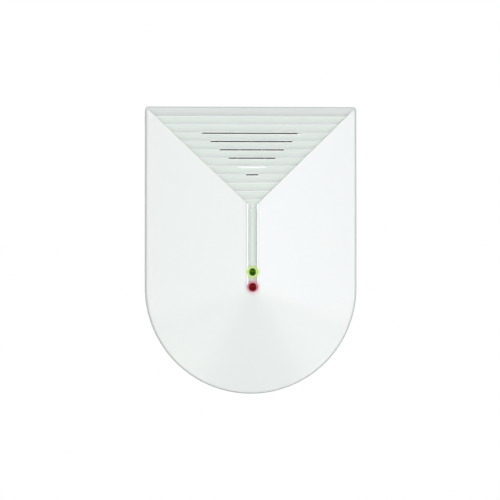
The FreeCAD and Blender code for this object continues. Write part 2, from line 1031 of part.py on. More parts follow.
# Headers and jumper caps


def header_places():
    z = round_centre + header_above_light
    return {"sensitivity": (-header_from_middle, z), "light": (header_from_middle, z)}


def header_pins_at(place):
    x, z = place
    return [(x, z + side * header_pitch / 2) for side in (-1, 1)]


def header_base(place):
    x, z = place
    base = block(x, z, header_pitch, 2 * header_pitch, board_front, header_height)
    hole = header_pin_size + jumper_wall_gap
    deep = header_height + 2
    return base.cut([block(px, pz, hole, hole, board_front - 1, deep) for px, pz in header_pins_at(place)])


def header_pins(place):
    top = board_front + header_height + header_pin_above
    return [pin(x, z, header_pin_size, top) for x, z in header_pins_at(place)]


def jumper_cap(place):
    x, z = place
    start = board_front + header_height
    cap = block(x, z, header_pitch - 0.1, 2 * header_pitch - 0.1, start, jumper_height)
    hole = header_pin_size + 2 * jumper_wall_gap
    deep = header_pin_above + 1.1
    wells = [block(px, pz, hole, hole, start - 1, deep) for px, pz in header_pins_at(place)]
    grip = block(x, z, header_pitch + 1, 0.6, start + jumper_height - 0.8, 1)
    return cap.cut(wells + [grip])


# Capacitors, crystal and other parts


def capacitor_places():
    """Each round capacitor's place, radius and height."""
    regulator_x, _ = regulator_place()
    supply_x = regulator_x - regulator_width / 2 - supply_regulator_gap - large_capacitor_radius
    supply_z = board_shoulder - supply_below_shoulder
    filter_z = supply_z - large_capacitor_radius - filter_supply_gap - small_capacitor_radius
    coupling = (-coupling_from_middle, board_shoulder - coupling_below_shoulder)
    return {
        "supply_capacitor": ((supply_x, supply_z), large_capacitor_radius, large_capacitor_height),
        "filter_capacitor": ((filter_from_middle, filter_z), small_capacitor_radius, small_capacitor_height),
        "coupling_capacitor": (coupling, small_capacitor_radius, small_capacitor_height),
    }


def capacitor_pins_at(place):
    x, z = place
    return [(x + side * capacitor_pin_spacing / 2, z) for side in (-1, 1)]


def capacitor_can(place, radius, height):
    x, z = place
    crimp_start = board_front + crimp_above_base
    crimp_end = crimp_start + crimp_height
    foot = rod(x, z, radius, board_front, crimp_above_base)
    waist = rod(x, z, radius - crimp_depth, crimp_start, crimp_height)
    can = rod(x, z, radius, crimp_end, board_front + height - crimp_end)
    return fused([foot, waist, can])


def capacitor_pins(place):
    return [pin(x, z, capacitor_pin_size, board_front) for x, z in capacitor_pins_at(place)]


def crystal_place():
    """Midway between the microphone's boot and the board screw."""
    x = -(pillar_x - screw_head_radius + capsule_radius + boot_wall) / 2
    return x, board_shoulder - crystal_below_shoulder


def crystal_pins_at():
    x, z = crystal_place()
    return [(x + side * crystal_pin_spacing / 2, z) for side in (-1, 1)]


def rounded_slab(x, z, length, width, depth, thickness):
    radius = width / 2 - 0.01
    corners = [
        (x - length / 2, z - width / 2, radius),
        (x + length / 2, z - width / 2, radius),
        (x + length / 2, z + width / 2, radius),
        (x - length / 2, z + width / 2, radius),
    ]
    return outline(corners, in_front_view(depth)).extrude(TOWARDS_VIEWER * thickness)


def crystal_can():
    x, z = crystal_place()
    flange = rounded_slab(x, z, crystal_length, crystal_width, board_front, crystal_flange_height)
    narrow = 2 * crystal_flange
    can = rounded_slab(x, z, crystal_length - narrow, crystal_width - narrow, board_front, crystal_height)
    return fused([flange, can])


def crystal_pins():
    return [pin(x, z, crystal_pin_size, board_front) for x, z in crystal_pins_at()]


def regulator_place():
    return board_half - regulator_from_edge, board_shoulder - regulator_below_shoulder


def regulator_body():
    x, z = regulator_place()
    return block(x, z, regulator_width, regulator_length, board_front + chip_stand_off, regulator_height)


def regulator_legs():
    """Three legs below the regulator and its wide cooling tab above."""
    x, z = regulator_place()
    reach = 1.7
    start = regulator_length / 2
    legs = []
    for index in (-1, 0, 1):
        leg_x = x + index * regulator_lead_pitch
        legs.append(block(leg_x, z - start - reach / 2, regulator_lead_width, reach, board_front, 0.3))
    legs.append(block(x, z + start + reach / 2, regulator_tab_width, reach, board_front, 0.3))
    return legs


def suppressor_place():
    return board_half - suppressor_from_edge, round_centre + suppressor_above_light


def suppressor():
    """The block-shaped diode across the supply, with bevelled top edges."""
    x, z = suppressor_place()
    body = block(x, z, suppressor_width, suppressor_length, board_front, suppressor_height)
    return body.makeChamfer(suppressor_bevel, front_edges(body))


def chip_row(x, z, count, step_x, step_z, thickness):
    """Equal chip parts in a row that starts at (x, z)."""
    places = [(x + index * step_x, z + index * step_z) for index in range(count)]
    return [block(cx, cz, chip_width, chip_length, board_front, thickness) for cx, cz in places]


def chips_under_microphone():
    _, z = microphone_place()
    return z - capsule_radius - boot_wall - chips_below_microphone


def chip_resistors():
    thickness = resistor_height
    _, coupling_z = capacitor_places()["coupling_capacitor"][0]
    beside_relay = relay_place()[0] - relay_width / 2 - chips_beside_relay - chip_side_step
    beside_regulator = board_half - chips_from_edge
    below_regulator = regulator_place()[1] - 2 * chip_upright_step
    return (
        chip_row(beside_relay, round_centre + chips_above_light, 5, 0, chip_upright_step, thickness)
        + chip_row(beside_regulator, below_regulator, 3, 0, chip_upright_step, thickness)
        + chip_row(-1.5 * chip_side_step, chips_under_microphone(), 4, chip_side_step, 0, thickness)
        + chip_row(chip_side_step, coupling_z, 2, chip_side_step, 0, thickness)
    )


def chip_capacitors():
    thickness = chip_capacitor_height
    beside_relay = relay_place()[0] - relay_width / 2 - chips_beside_relay
    lower_row = chips_under_microphone() - chip_length - chips_below_microphone
    return (
        chip_row(beside_relay, round_centre + chips_above_light, 4, 0, chip_upright_step, thickness)
        + chip_row(-3.5 * chip_side_step, lower_row, 3, chip_side_step, 0, thickness)
        + chip_row(2.5 * chip_side_step, chips_under_microphone(), 2, chip_side_step, 0, thickness)
    )


# Circuit board and its screws


def board_pin_holes():
    places = []
    for z in light_heights().values():
        places += [(x, pz, lead_size) for x, pz in lead_places(z)]
    places += [(x, z, microphone_pin_size) for x, z in microphone_pins_at()]
    places += [(x, z, terminal_pin_size) for x, z in terminal_pin_places()]
    places += [(x, z, relay_pin_size) for x, z in relay_pins_at() + switch_pins_at()]
    places += [(x, z, crystal_pin_size) for x, z in crystal_pins_at()]
    for place in header_places().values():
        places += [(x, z, header_pin_size) for x, z in header_pins_at(place)]
    for place, _, _ in capacitor_places().values():
        places += [(x, z, capacitor_pin_size) for x, z in capacitor_pins_at(place)]
    return [pin_hole(*place) for place in places]


def circuit_board():
    limit = shield(
        plate_inset + rim_thickness + board_side_gap,
        plate_top_inset + rim_thickness + board_side_gap,
        board_back,
        board_thickness,
    )
    main = box((-half_width, half_width), (board_back, board_front), (board_bottom, board_shoulder))
    tab_half = board_tab_width / 2
    tab = box((-tab_half, tab_half), (board_back, board_front), (board_bottom, board_tab_top))
    board = main.fuse(tab).common(limit)
    screw_holes = mirrored_pair(
        rod(pillar_x, upper_pillar_z, screw_radius + 0.3, board_back - 1, board_thickness + 2)
    )
    peg_holes = mirrored_pair(
        rod(pillar_x, lower_pillar_z, peg_radius + peg_gap, board_back - 1, board_thickness + 2)
    )
    return board.cut(board_pin_holes() + screw_holes + peg_holes).removeSplitter()


def board_screw():
    shank = rod(pillar_x, upper_pillar_z, screw_radius, board_front - screw_length, screw_length)
    head = rod(pillar_x, upper_pillar_z, screw_head_radius, board_front, screw_head_height)
    depth = board_front + screw_head_height - screw_recess_depth
    cross = [
        block(pillar_x, upper_pillar_z, screw_recess_length, screw_recess_width, depth, 2),
        block(pillar_x, upper_pillar_z, screw_recess_width, screw_recess_length, depth, 2),
    ]
    return fused([shank, head]).cut(cross)


def all_parts():
    """Every sub-part by name; a list is a group of separate solids in one node."""
    parts = {
        "front_cover": front_cover(),
        "back_plate": back_plate(),
        "circuit_board": circuit_board(),
        "board_screws": mirrored_pair(board_screw()),
        "microphone_boot": microphone_boot(),
        "microphone_capsule": microphone_capsule(),
        "microphone_felt": microphone_felt(),
        "microphone_pins": microphone_pins(),
        "terminal_housing": terminal_housing(),
        "terminal_clamps": terminal_clamps(),
        "terminal_screws": terminal_screws(),
        "relay_case": relay_case(),
        "relay_pins": relay_pins(),
        "tamper_switch": tamper_switch(),
        "tamper_switch_pins": switch_pins(),
        "tamper_plunger": tamper_plunger(),
        "processor_chip": processor_chip(),
        "processor_leads": processor_leads(),
        "amplifier_chip": amplifier_chip(),
        "amplifier_leads": amplifier_leads(),
        "crystal_can": crystal_can(),
        "crystal_pins": crystal_pins(),
        "regulator_body": regulator_body(),
        "regulator_legs": regulator_legs(),
        "surge_suppressor": suppressor(),
        "chip_resistors": chip_resistors(),
        "chip_capacitors": chip_capacitors(),
    }
    for colour, z in light_heights().items():
        parts[f"{colour}_light"] = light_body(z)
        parts[f"{colour}_light_leads"] = light_leads(z)
        parts[f"{colour}_light_spacer"] = light_spacer(z)
    for name, place in header_places().items():
        parts[f"{name}_header"] = header_base(place)
        parts[f"{name}_header_pins"] = header_pins(place)
        parts[f"{name}_jumper"] = jumper_cap(place)
    for name, (place, radius, height) in capacitor_places().items():
        parts[name] = capacitor_can(place, radius, height)
        parts[f"{name}_pins"] = capacitor_pins(place)
    return parts


def main():
    os.makedirs("parts", exist_ok=True)
    for name, shape in all_parts().items():
        solid = Part.makeCompound(shape) if isinstance(shape, list) else shape
        solid.exportStep(f"parts/{name}.step")


main()
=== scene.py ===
import math

import bmesh
import bpy
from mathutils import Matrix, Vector


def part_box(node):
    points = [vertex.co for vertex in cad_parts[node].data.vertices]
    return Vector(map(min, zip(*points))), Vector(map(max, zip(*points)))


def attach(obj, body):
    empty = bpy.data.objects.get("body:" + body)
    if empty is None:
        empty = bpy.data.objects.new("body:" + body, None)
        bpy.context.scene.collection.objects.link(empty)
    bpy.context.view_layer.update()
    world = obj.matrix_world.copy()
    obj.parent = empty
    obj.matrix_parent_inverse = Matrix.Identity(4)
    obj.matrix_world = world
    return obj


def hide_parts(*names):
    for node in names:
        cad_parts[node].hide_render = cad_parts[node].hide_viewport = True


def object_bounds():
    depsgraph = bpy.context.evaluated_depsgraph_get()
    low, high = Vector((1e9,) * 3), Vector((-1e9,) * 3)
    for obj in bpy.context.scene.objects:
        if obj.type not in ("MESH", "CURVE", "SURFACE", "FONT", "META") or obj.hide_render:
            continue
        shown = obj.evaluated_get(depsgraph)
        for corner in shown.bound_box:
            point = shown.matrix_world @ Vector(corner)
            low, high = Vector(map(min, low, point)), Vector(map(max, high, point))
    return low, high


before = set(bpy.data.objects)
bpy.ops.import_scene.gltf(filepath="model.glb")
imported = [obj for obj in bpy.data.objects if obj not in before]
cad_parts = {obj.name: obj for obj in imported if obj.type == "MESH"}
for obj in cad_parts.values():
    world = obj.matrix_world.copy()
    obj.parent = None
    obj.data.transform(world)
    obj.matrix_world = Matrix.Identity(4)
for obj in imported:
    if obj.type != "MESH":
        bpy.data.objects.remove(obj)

MM = 0.001
cad_low, cad_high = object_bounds()
white = (1, 1, 1)

# Places taken from the frame
case_low, case_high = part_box("front_cover")
case_middle_z = (case_low.z + case_high.z) / 2
red_low, red_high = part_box("red_light")
green_low, green_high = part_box("green_light")
red_z = (red_low.z + red_high.z) / 2
green_z = (green_low.z + green_high.z) / 2

# Places on the cover, as in the part's own sizes
eave_y = -13.0 * MM
light_radius = 1.5 * MM
light_crown_radius = 2.9 * MM
light_flange_height = 1.0 * MM
first_louvre = 2.85 * MM
louvre_pitch = 2.64 * MM
louvre_count = 11
hip_point_z = case_high.z - 32.5 * MM
hip_spread = 33.17 / 32.42  # half the triangle's width for each unit of its height
louvre_rise = 12.4 / 32.42  # depth gained for each unit of the way down
louvre_step = louvre_pitch * louvre_rise
first_flat_back = 0.15 * MM  # the first flat lies this far behind the slope
step_one_y = eave_y - (first_louvre * louvre_rise - first_flat_back)
slot_lines = (2, 3, 4, 5, 7)
slot_margin = 9.5 * MM  # from a slot's end to the triangle's side
slot_drop = 0.28 * MM  # from a louvre line down to its slot
slot_height = 0.36 * MM
window_line = 6
window_height = 0.7 * MM

# Fine strips that only this file has
rim_height = 0.2 * MM
rim_proud = 0.07 * MM
window_proud = 0.2 * MM
window_lap = 0.03 * MM
window_side_lap = 0.05 * MM
edge_drop = 0.2 * MM
edge_height = 0.34 * MM
edge_margin = 0.9 * MM
edge_proud = 0.05 * MM

# Camera and picture
camera_azimuth = -2.6
camera_elevation = -1.0
camera_distance = 0.75
picture_px = 500
px_per_mm = 3.195  # at the depth of the eaves
picture_height = picture_px / px_per_mm * MM
outline_middle_px = (251.0, 250.15)
sensor_width_mm = 36
nearest_seen, furthest_seen = 0.02, 20

# Floor and lamps
floor_size = 1.6  # from its middle to a side
floor_drop = 0.6  # below the object, out of the picture
floor_boost = 0.85
world_light = 0.25
world_light_colour = (0.95, 1.0, 0.97)
lamp_distance = 0.9


def outwards(azimuth, elevation):
    """The direction from the object to a place round it. At 0 and 0 that is straight in front."""
    turn, rise = math.radians(azimuth), math.radians(elevation)
    level = math.cos(rise)
    return Vector((math.sin(turn) * level, -math.cos(turn) * level, math.sin(rise)))


def place_camera():
    """Almost square on to the wall, a little to the left and below, framed as in the picture."""
    data = bpy.data.cameras.new("camera")
    cam = bpy.data.objects.new("camera", data)
    bpy.context.scene.collection.objects.link(cam)
    back = outwards(camera_azimuth, camera_elevation)
    cam.location = Vector((0, eave_y, case_middle_z)) + back * camera_distance
    cam.rotation_mode = "QUATERNION"
    cam.rotation_quaternion = (-back).to_track_quat("-Z", "Y")
    data.sensor_width = sensor_width_mm
    data.lens = data.sensor_width * camera_distance / picture_height
    data.shift_x = (picture_px / 2 - outline_middle_px[0]) / picture_px
    data.shift_y = (outline_middle_px[1] - picture_px / 2) / picture_px
    data.clip_start = nearest_seen
    data.clip_end = furthest_seen
    bpy.context.scene.camera = cam


class Finish:
    """A procedural material, built up from textures in the object's own coordinates."""

    def __init__(self, name, **values):
        self.material = bpy.data.materials.new(name)
        self.material.use_nodes = True
        self.nodes = self.material.node_tree.nodes
        self.links = self.material.node_tree.links
        self.shader = self.nodes["Principled BSDF"]
        self.place = self.nodes.new("ShaderNodeTexCoord").outputs["Object"]
        for socket, value in values.items():
            self.shader.inputs[socket.replace("_", " ")].default_value = value

    def connect(self, value, socket):
        """A socket takes another node's output, a number or a colour of three numbers."""
        if hasattr(value, "is_linked"):
            self.links.new(value, socket)
        else:
            socket.default_value = (*value, 1) if isinstance(value, tuple) else value

    def texture(self, kind, size_mm, stretch):
        """A texture node in the object's coordinates, which may be stretched along its axes."""
        node = self.nodes.new(kind)
        place = self.place
        if stretch:
            mapping = self.nodes.new("ShaderNodeMapping")
            self.links.new(place, mapping.inputs["Vector"])
            mapping.inputs["Scale"].default_value = stretch
            place = mapping.outputs["Vector"]
        self.links.new(place, node.inputs["Vector"])
        node.inputs["Scale"].default_value = 1 / (size_mm * MM)
        return node

    def noise(self, size_mm, detail=3, stretch=None):
        """Cloudy noise whose patches are about size_mm across."""
        node = self.texture("ShaderNodeTexNoise", size_mm, stretch)
        node.inputs["Detail"].default_value = detail
        return node.outputs["Fac"]

    def cells(self, size_mm, stretch):
        """Distance from the nearest of points about size_mm apart, as a share of that size."""
        return self.texture("ShaderNodeTexVoronoi", size_mm, stretch).outputs["Distance"]

    def math(self, operation, a, b=0.0):
        """A sum on one or two values. Each is a number or another node's output."""
        node = self.nodes.new("ShaderNodeMath")
        node.operation = operation
        self.connect(a, node.inputs[0])
        self.connect(b, node.inputs[1])
        return node.outputs[0]

    def ranged(self, value, low, high, to_low, to_high):
        """A value carried over from one range to another, and held within it."""
        node = self.nodes.new("ShaderNodeMapRange")
        self.links.new(value, node.inputs["Value"])
        node.inputs["From Min"].default_value = low
        node.inputs["From Max"].default_value = high
        node.inputs["To Min"].default_value = to_low
        node.inputs["To Max"].default_value = to_high
        return node.outputs["Result"]

    def rise(self, value, start, full):
        """0 up to the start, 1 from the full value on."""
        return self.ranged(value, start, full, 0, 1)

    def fall(self, value, full, end):
        """1 up to the full value, 0 from the end on."""
        return self.ranged(value, full, end, 1, 0)

    def times(self, first, second):
        """The product of two values."""
        return self.math("MULTIPLY", first, second)

    def band(self, value, start, full, still_full, end):
        """1 from full to still_full, 0 outside start and end."""
        return self.times(self.rise(value, start, full), self.fall(value, still_full, end))

    def ramp(self, value, *stops):
        """Colours along a value: each stop is a place and a colour."""
        node = self.nodes.new("ShaderNodeValToRGB")
        self.links.new(value, node.inputs["Fac"])
        elements = node.color_ramp.elements
        while len(elements) < len(stops):
            elements.new(0.5)
        for element, (place, colour) in zip(elements, stops):
            element.position = place
            element.color = (*colour, 1)
        return node.outputs["Color"]

    def mix(self, fac, first, second, blend="MIX"):
        """Two colours, the second laid over the first by a factor."""
        node = self.nodes.new("ShaderNodeMix")
        node.data_type = "RGBA"
        node.blend_type = blend
        colours = [socket for socket in node.inputs if socket.type == "RGBA"]
        self.connect(fac, node.inputs["Factor"])
        self.connect(first, colours[0])
        self.connect(second, colours[1])
        return next(socket for socket in node.outputs if socket.type == "RGBA")

    def tinted(self, colour, tint):
        """A colour multiplied by another."""
        return self.mix(1.0, colour, tint, "MULTIPLY")

    def mottled(self, cloud, colour, darker):
        """A colour that is darker by a share where a cloudy value is low."""
        return self.ramp(cloud, (0.3, tuple(c * (1 - darker) for c in colour)), (0.7, colour))

    def axis(self, name):
        """The place along one of the object's axes."""
        apart = self.nodes.new("ShaderNodeSeparateXYZ")
        self.links.new(self.place, apart.inputs[0])
        return apart.outputs[name]

    def facing(self, name):
        """How far the surface faces along an axis, either way."""
        apart = self.nodes.new("ShaderNodeSeparateXYZ")
        coordinates = self.nodes.new("ShaderNodeTexCoord")
        self.links.new(coordinates.outputs["Normal"], apart.inputs[0])
        return self.math("ABSOLUTE", apart.outputs[name])

    def from_axis(self, x, z, half_width=1.0, half_height=1.0):
        """Distance from an axis that runs front to back, in metres or as a share of an ellipse."""
        across = self.math("DIVIDE", self.math("SUBTRACT", self.axis("X"), x), half_width)
        along = self.math("DIVIDE", self.math("SUBTRACT", self.axis("Z"), z), half_height)
        squares = self.math("ADD", self.times(across, across), self.times(along, along))
        return self.math("SQRT", squares)

    def bump(self, height, strength, depth_mm):
        """Adds a relief to those that are there."""
        node = self.nodes.new("ShaderNodeBump")
        node.inputs["Strength"].default_value = strength
        node.inputs["Distance"].default_value = depth_mm * MM
        self.links.new(height, node.inputs["Height"])
        normal = self.shader.inputs["Normal"]
        if normal.is_linked:
            self.links.new(normal.links[0].from_socket, node.inputs["Normal"])
        self.links.new(node.outputs["Normal"], normal)
        return self

    def set(self, socket, value):
        """Links a value to one of the shader's sockets."""
        self.links.new(value, self.shader.inputs[socket])


# Zones of painted light and shade on the cover. Four numbers: a zone starts at the first, is full
# from the second to the third and ends at the fourth. Two numbers: it is empty at one and full at
# the other.
glow_paint_reach = 3.0 * MM  # from the middle of a light
glow_paint_near, glow_paint_middle, glow_paint_white = 0.53, 0.68, 0.9  # shares of that reach
glow_reach = 2.2 * MM  # from the middle of a light
outline_slant = (0.05, 0.2, 0.6, 0.85)  # share that the surface faces forwards
outline_forward = (0.8, 0.9)
outline_round = (0.6 * MM, 0.3 * MM)  # in front of the eaves
outline_top_edge = (0.42 * MM, 0.3 * MM)  # below the top
slot_lap = 0.04 * MM  # beyond a slot's edges
slot_wall = (0.6 * MM, 0.75 * MM, 1.9 * MM, 2.0 * MM)  # behind the slope
slot_inward = (8.8 * MM, 9.0 * MM)  # in from the triangle's sides
corner_height = (0.75 * MM, 0.2 * MM)  # above the next louvre line
corner_inward = (0.2 * MM, 0.5 * MM)
louvre_inward = 0.3 * MM
louvre_front = 0.1 * MM  # in front of the eaves
channel_top_fade, channel_end_fade = 0.3 * MM, 0.2 * MM
channel_floor_end = 2.2 * MM  # above the middle of the green light
channel_floor_half = (1.05 * MM, 1.2 * MM)  # out from the middle of the channel
lip_foot_half = (1.13 * MM, 1.23 * MM, 1.41 * MM, 1.48 * MM)
lip_flank_depth = (0.04 * MM, 0.1 * MM, 0.26 * MM, 0.32 * MM)  # behind the crest
crest_depth = (0.07 * MM, 0.01 * MM)  # behind the cover's foremost place


def painted_led_glow(f, z, near, middle):
    """The painted glow that a lit light gives the white plastic round it."""
    distance = f.rise(f.from_axis(0, z), 0, glow_paint_reach)
    return f.ramp(distance, (glow_paint_near, near), (glow_paint_middle, middle), (glow_paint_white, white))


def outline_shade(f):
    """1 on the rounded edge between wall and roof and on the top edge: painted shade for the thin
    grey outline.
    """
    forward = f.facing("Y")
    slanting = f.band(forward, *outline_slant)
    rounded = f.times(slanting, f.rise(f.axis("Y"), *(eave_y - front for front in outline_round)))
    top = f.rise(f.axis("Z"), *(case_high.z - down for down in outline_top_edge))
    return f.math("MAXIMUM", rounded, f.times(top, f.rise(forward, *outline_forward)))


def below_line(f):
    """How far a place on the louvres lies below the nearest louvre line above it."""
    from_line = f.math("SUBTRACT", case_high.z - first_louvre + louvre_pitch, f.axis("Z"))
    return f.math("MODULO", from_line, louvre_pitch)


def inside_triangle(f):
    """How far in from the sloping sides of the louvred triangle."""
    half = f.times(f.math("SUBTRACT", f.axis("Z"), hip_point_z), hip_spread)
    return f.math("SUBTRACT", half, f.math("ABSOLUTE", f.axis("X")))


def slot_shade(f):
    """1 on the walls inside the slots, which lie in deep shade."""
    top, bottom = slot_drop, slot_drop + slot_height
    level = f.band(below_line(f), top - 2 * slot_lap, top - slot_lap,
                   bottom + slot_lap, bottom + 2 * slot_lap)
    slope = f.math("ADD", f.times(f.axis("Z"), louvre_rise), eave_y - case_high.z * louvre_rise)
    in_wall = f.band(f.math("SUBTRACT", f.axis("Y"), slope), *slot_wall)
    return f.times(f.times(level, in_wall), f.rise(inside_triangle(f), *slot_inward))


def painted_corner_light(f):
    """1 in the corner at the foot of each louvre, where light is painted: paler, with a faint glow.
    """
    corner = f.rise(below_line(f), *(louvre_pitch - up for up in corner_height))
    return f.times(corner, f.rise(inside_triangle(f), *corner_inward))


def louvre_area(f):
    """1 on the louvres."""
    in_front = f.fall(f.axis("Y"), eave_y - louvre_front, eave_y)
    return f.times(f.rise(inside_triangle(f), 0, louvre_inward), in_front)


def in_channel(f, lowest_z):
    """1 along the channel down the ridge, from its top end down to a height."""
    below_top = f.fall(f.axis("Z"), hip_point_z, hip_point_z + channel_top_fade)
    above = f.rise(f.axis("Z"), lowest_z - channel_end_fade, lowest_z + channel_end_fade)
    return f.times(below_top, above)


def channel_floor(f):
    """1 on the floor of the channel above the lights, which is painted lighter and slightly green.
    """
    across = f.math("ABSOLUTE", f.axis("X"))
    return f.times(in_channel(f, green_z + channel_floor_end), f.fall(across, *channel_floor_half))


def lip_foot(f):
    """1 in the thin shade along the foot of the channel's lip."""
    across = f.math("ABSOLUTE", f.axis("X"))
    return f.times(in_channel(f, red_z), f.band(across, *lip_foot_half))


def lip_flank_shade(f):
    """1 on the flanks of the channel's lip, just behind its crest, which take painted shade."""
    return f.band(f.axis("Y"), *(case_low.y + back for back in lip_flank_depth))


def cover_plastic():
    """Satin white moulding with a fine spark-eroded texture, with a painted glow round the lit
    lights.

    The crest of the channel's lip carries a painted highlight. The roughness stays below 0.274,
    because a denoised render shows patches where it lies partly below and partly above that.
    """
    moulding_white = (0.86, 0.89, 0.87)
    flank_painted_shade, foot_grey = (0.72, 0.75, 0.73), (0.84, 0.855, 0.85)
    floor_painted_light, corner_painted_light = (0.88, 0.95, 0.895), (0.93, 0.96, 0.94)
    louvre_painted_light = (1.04, 1.07, 1.035)
    outline_sides, outline_top = (0.6, 0.62, 0.6), (0.42, 0.43, 0.42)
    slot_black = (0.03, 0.03, 0.03)
    light_glow, crest_glow, corner_glow = 0.13, 0.48, 0.035
    smooth, rough = 0.235, 0.27
    f = Finish("cover_plastic", Specular_IOR_Level=0.9)
    cloud = f.noise(16)
    colour = f.mottled(cloud, moulding_white, 0.012)
    # Painted glow round the green and the red light, used in the base colour and as emission.
    green = painted_led_glow(f, green_z, (0.83, 0.97, 0.45), (0.9, 0.96, 0.72))
    red = painted_led_glow(f, red_z, (0.92, 0.5, 0.58), (0.92, 0.78, 0.81))
    painted_glow_colour = f.tinted(green, red)
    colour = f.tinted(colour, painted_glow_colour)
    # Painted shade on the flanks of the channel's lip.
    colour = f.mix(lip_flank_shade(f), colour, flank_painted_shade)
    # Painted light: the channel floor is lighter and slightly green.
    colour = f.mix(channel_floor(f), colour, floor_painted_light)
    foot = lip_foot(f)
    colour = f.tinted(colour, f.mix(foot, white, foot_grey))
    # Painted light: the louvres are made lighter and a little greener.
    colour = f.tinted(colour, f.mix(louvre_area(f), white, louvre_painted_light))
    # Painted light in the corner at each louvre's foot: paler here and, further down, a faint glow.
    corner = painted_corner_light(f)
    colour = f.mix(corner, colour, corner_painted_light)
    # Painted shade for the outline, darker on the top edge than on the sides.
    outline = f.ramp(f.facing("Z"), (0.3, outline_sides), (0.9, outline_top))
    colour = f.mix(outline_shade(f), colour, outline)
    f.set("Base Color", f.mix(slot_shade(f), colour, slot_black))
    f.set("Emission Color", painted_glow_colour)
    # Emission: painted glow round the lights.
    nearest = f.math("MINIMUM", f.from_axis(0, green_z), f.from_axis(0, red_z))
    glow = f.ranged(nearest, light_radius, glow_reach, light_glow, 0)
    # Painted highlight along the crest of the channel's lip, as emission.
    crest = f.ranged(f.axis("Y"), *(case_low.y + back for back in crest_depth), 0, crest_glow)
    crest = f.times(crest, f.math("SUBTRACT", 1.0, foot))
    glow = f.math("ADD", f.math("ADD", glow, crest), f.times(corner, corner_glow))
    f.set("Emission Strength", glow)
    f.set("Roughness", f.ranged(cloud, 0, 1, smooth, rough))
    return f.bump(f.noise(0.25, 4), 0.15, 0.05).material


def glowing_highlight_plastic(name, glow):
    """The cover's plastic on thin strips, paler than the moulding and glowing white: a painted
    highlight.
    """
    f = Finish(name, Specular_IOR_Level=0.9, Emission_Color=(1, 1, 1, 1), Emission_Strength=glow)
    cloud = f.noise(4)
    dark, pale = (0.94, 0.96, 0.95), (0.97, 0.98, 0.97)
    f.set("Base Color", f.ramp(cloud, (0.3, dark), (0.7, pale)))
    f.set("Roughness", f.ranged(cloud, 0, 1, 0.25, 0.33))
    return f.bump(f.noise(0.2, 4), 0.08, 0.03).material


def base_plastic():
    """The back plate: the same white, with a coarser matt texture and faint flow lines."""
    f = Finish("base_plastic", Specular_IOR_Level=0.5)
    flow = f.noise(22, 4, (1, 1, 0.3))
    f.set("Base Color", f.mottled(flow, (0.84, 0.86, 0.84), 0.03))
    f.set("Roughness", f.ranged(flow, 0, 1, 0.5, 0.62))
    return f.bump(f.noise(0.35, 5), 0.3, 0.06).material


def plain_plastic(name, colour, roughness, variation=0.08):
    """A small moulding, with a faint texture and uneven tone."""
    f = Finish(name)
    cloud = f.noise(3)
    f.set("Base Color", f.mottled(cloud, colour, variation))
    f.set("Roughness", f.ranged(cloud, 0, 1, roughness - 0.05, roughness + 0.06))
    return f.bump(f.noise(0.4, 4), 0.15, 0.04).material


def metal(name, colour, roughness, grain_mm, stretch=None):
    """Drawn, turned or tinned metal: fine marks along its working direction and an uneven sheen."""
    f = Finish(name, Metallic=1.0)
    marks = f.noise(grain_mm, 5, stretch)
    f.set("Base Color", f.mottled(marks, colour, 0.12))
    f.set("Roughness", f.ranged(f.noise(2.5), 0.2, 0.8, roughness - 0.07, roughness + 0.09))
    return f.bump(marks, 0.1, 0.02).material


def board_mask():
    """Green solder mask with tracks, round pads and holes; sawn glass fibre on the edges."""
    mask, copper = (0.014, 0.15, 0.05), (0.025, 0.2, 0.07)
    solder, hole = (0.45, 0.47, 0.42), (0.02, 0.03, 0.02)
    fibre_dark, fibre_pale = (0.42, 0.38, 0.2), (0.58, 0.53, 0.32)
    upright_turns, level_turns = 4200, 3600  # radians for each metre
    hole_spacing_mm = 3.4
    pad_edge, hole_edge = (0.13, 0.16), (0.055, 0.07)  # shares of that
    through = (1, 0.02, 1)  # the pattern hardly changes with depth
    f = Finish("board_mask", Specular_IOR_Level=0.5)
    wander = f.times(f.cells(6, through), 0.5 * MM)
    upright = f.math("SINE", f.times(f.math("ADD", f.axis("X"), wander), upright_turns))
    level = f.math("SINE", f.times(f.math("ADD", f.axis("Z"), wander), level_turns))
    patch = f.rise(f.noise(11, 1, through), 0.49, 0.51)
    lines = f.math("ADD", f.times(upright, patch), f.times(level, f.math("SUBTRACT", 1.0, patch)))
    track = f.rise(lines, 0.3, 0.5)
    face = f.mix(track, mask, copper)
    from_hole = f.cells(hole_spacing_mm, through)
    face = f.mix(f.fall(from_hole, *pad_edge), face, solder)
    face = f.mix(f.fall(from_hole, *hole_edge), face, hole)
    fibre = f.ramp(f.noise(0.5, 4, (1, 6, 1)), (0.35, fibre_dark), (0.65, fibre_pale))
    f.set("Base Color", f.mix(f.rise(f.facing("Y"), 0.4, 0.6), fibre, face))
    f.set("Roughness", f.ranged(track, 0, 1, 0.34, 0.24))
    f.bump(track, 0.5, 0.04)
    return f.bump(f.noise(0.3, 3), 0.06, 0.02).material


def rubber():
    """Moulded rubber: near black and matt, with a fine uneven texture."""
    f = Finish("moulded_rubber", Specular_IOR_Level=0.3)
    cloud = f.noise(2.5)
    dark, pale = (0.012, 0.012, 0.013), (0.03, 0.03, 0.031)
    f.set("Base Color", f.ramp(cloud, (0.3, dark), (0.7, pale)))
    f.set("Roughness", f.ranged(cloud, 0, 1, 0.6, 0.8))
    return f.bump(f.noise(0.3, 5), 0.3, 0.06).material


def felt():
    """Thin acoustic felt: matted fibres."""
    f = Finish("acoustic_felt", Sheen_Weight=0.4, Specular_IOR_Level=0.1, Roughness=0.95)
    fibres = f.noise(0.35, 6, (1, 1, 3))
    dark, pale = (0.008, 0.008, 0.01), (0.06, 0.06, 0.066)
    f.set("Base Color", f.ramp(fibres, (0.3, dark), (0.75, pale)))
    return f.bump(fibres, 0.8, 0.15).material


